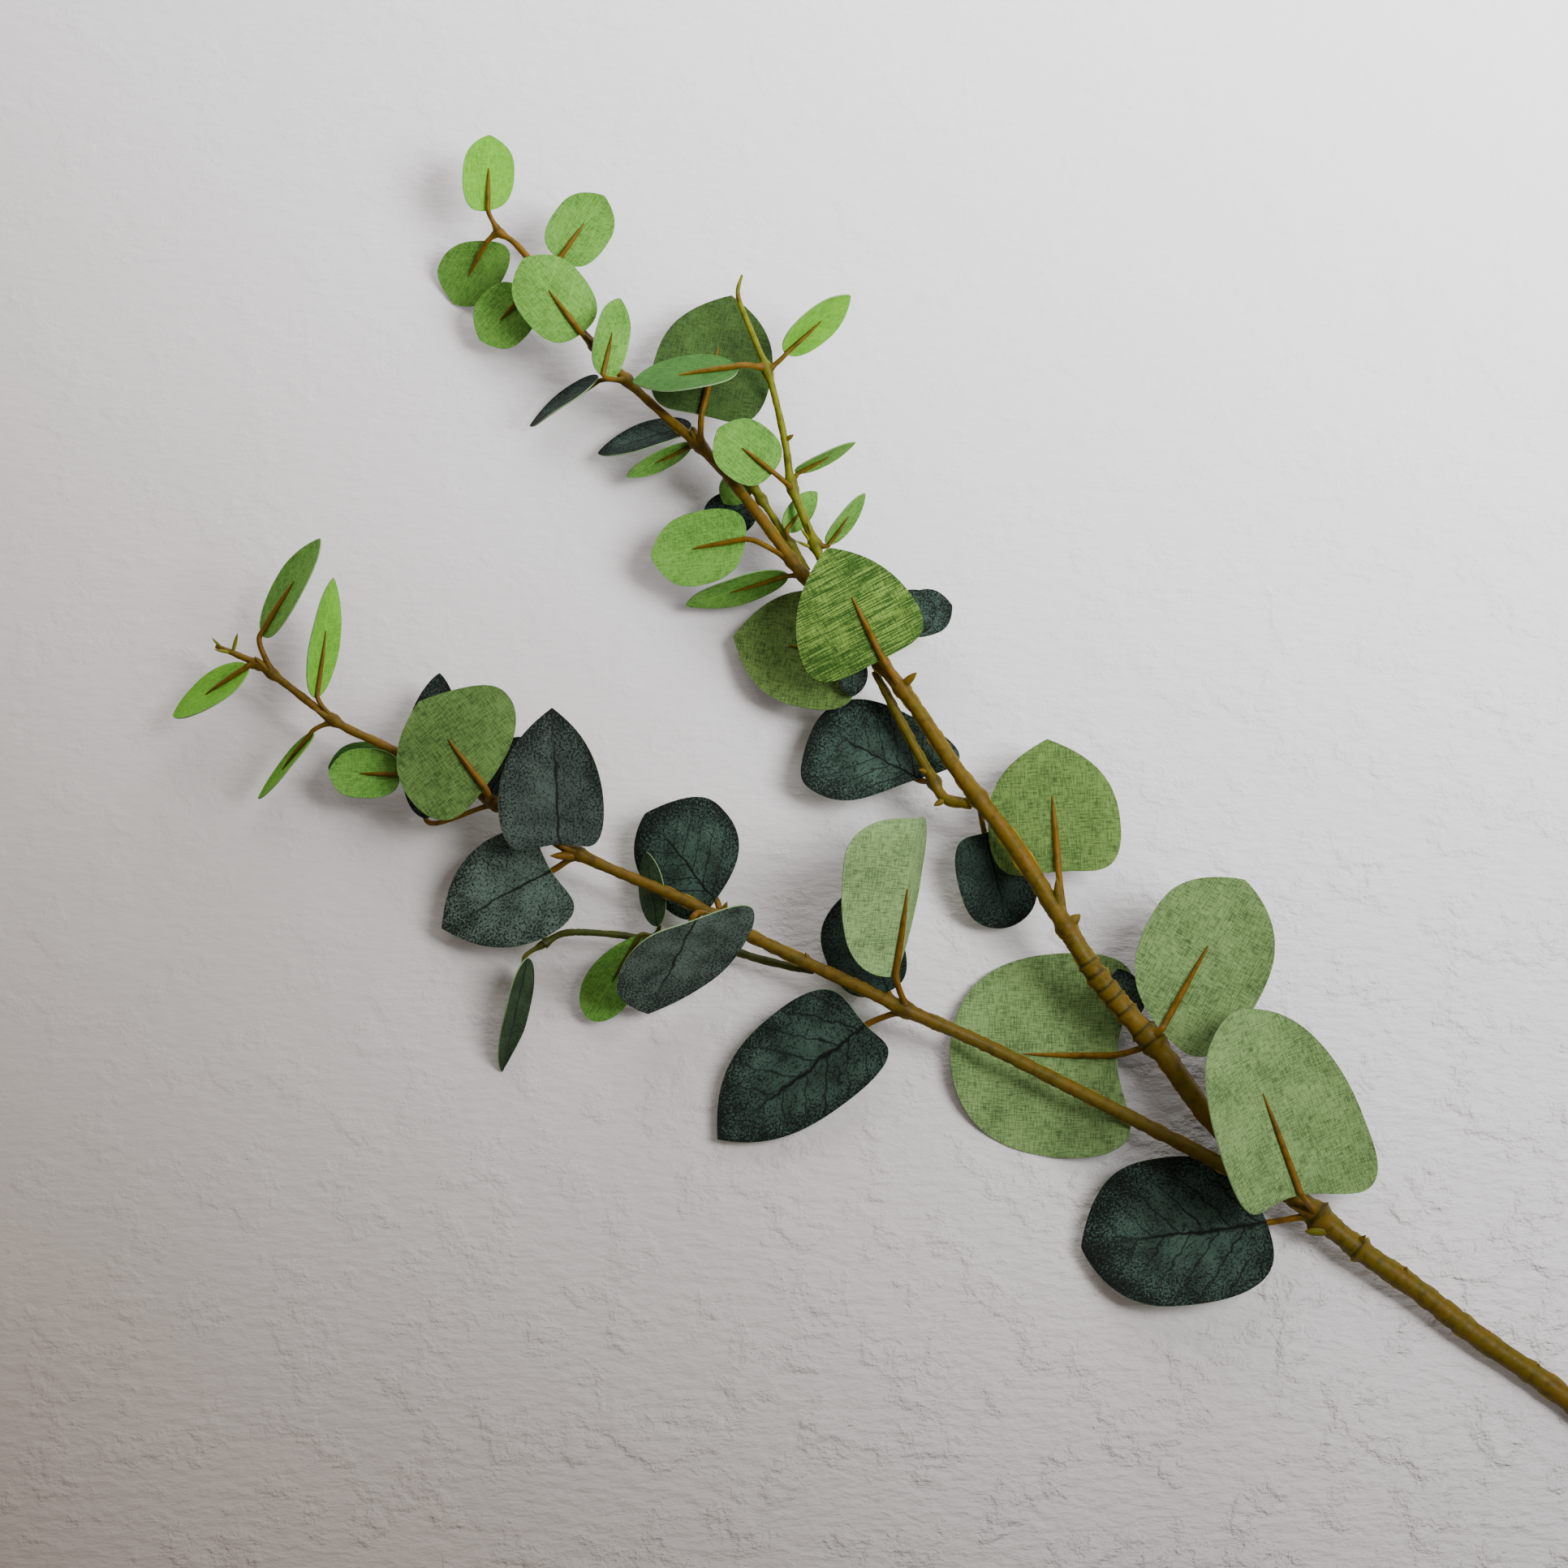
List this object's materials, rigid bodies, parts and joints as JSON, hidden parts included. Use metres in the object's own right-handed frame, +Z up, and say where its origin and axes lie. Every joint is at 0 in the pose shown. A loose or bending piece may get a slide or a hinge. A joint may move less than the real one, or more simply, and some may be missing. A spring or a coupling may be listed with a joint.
{
  "type": "artificial eucalyptus spray",
  "caption": "Forked spray of round fabric leaves on moulded plastic stems, lying flat, used as cut greenery in a vase or on a table.",
  "frame": {"origin": "centre of the bounding box in X and Y, on the surface that the spray lies on", "axes": "+Y from the cut butt of the main stem towards the tips, +Z up from the surface, +X to the right when seen from above with the tips away"},
  "size_m": [0.2143, 0.542, 0.0405],
  "materials": {
    "stem_plastic": "satin olive-brown moulded polyethylene with parting lines",
    "leaf_fabric": "woven fabric, blue-green with a fine dark vein print on one face and sage green on the other",
    "core_wire": "drawn wire, cut end"
  },
  "bodies": {
    "root": {"main_stem": "stem_plastic", "left_branch": "stem_plastic", "upper_twig": "stem_plastic", "inner_twig": "stem_plastic", "ragged_twig": "stem_plastic", "lower_twig": "stem_plastic", "wire_core": "core_wire", "main_stem_leaf_01": "leaf_fabric", "main_stem_leaf_02": "leaf_fabric", "main_stem_leaf_03": "leaf_fabric", "main_stem_leaf_04": "leaf_fabric", "main_stem_leaf_05": "leaf_fabric", "main_stem_leaf_06": "leaf_fabric", "main_stem_leaf_07": "leaf_fabric", "main_stem_leaf_08": "leaf_fabric", "main_stem_leaf_09": "leaf_fabric", "main_stem_leaf_10": "leaf_fabric", "main_stem_leaf_11": "leaf_fabric", "main_stem_leaf_12": "leaf_fabric", "main_stem_leaf_13": "leaf_fabric", "main_stem_leaf_14": "leaf_fabric", "main_stem_leaf_15": "leaf_fabric", "main_stem_leaf_16": "leaf_fabric", "main_stem_leaf_17": "leaf_fabric", "main_stem_leaf_18": "leaf_fabric", "main_stem_leaf_19": "leaf_fabric", "main_stem_leaf_20": "leaf_fabric", "main_stem_leaf_21": "leaf_fabric", "main_stem_leaf_22": "leaf_fabric", "main_stem_leaf_23": "leaf_fabric", "main_stem_leaf_24": "leaf_fabric", "left_branch_leaf_01": "leaf_fabric", "left_branch_leaf_02": "leaf_fabric", "left_branch_leaf_03": "leaf_fabric", "left_branch_leaf_04": "leaf_fabric", "left_branch_leaf_05": "leaf_fabric", "left_branch_leaf_06": "leaf_fabric", "left_branch_leaf_07": "leaf_fabric", "left_branch_leaf_08": "leaf_fabric", "left_branch_leaf_09": "leaf_fabric", "left_branch_leaf_10": "leaf_fabric", "left_branch_leaf_11": "leaf_fabric", "left_branch_leaf_12": "leaf_fabric", "left_branch_leaf_13": "leaf_fabric", "left_branch_leaf_14": "leaf_fabric", "left_branch_leaf_15": "leaf_fabric", "left_branch_leaf_16": "leaf_fabric", "upper_twig_leaf_01": "leaf_fabric", "upper_twig_leaf_02": "leaf_fabric", "upper_twig_leaf_03": "leaf_fabric", "upper_twig_leaf_04": "leaf_fabric", "upper_twig_leaf_05": "leaf_fabric", "inner_twig_leaf_01": "leaf_fabric", "inner_twig_leaf_02": "leaf_fabric", "inner_twig_leaf_03": "leaf_fabric", "ragged_twig_leaf_01": "leaf_fabric", "lower_twig_leaf_01": "leaf_fabric", "lower_twig_leaf_02": "leaf_fabric", "lower_twig_leaf_03": "leaf_fabric"}
  },
  "joints": []
}
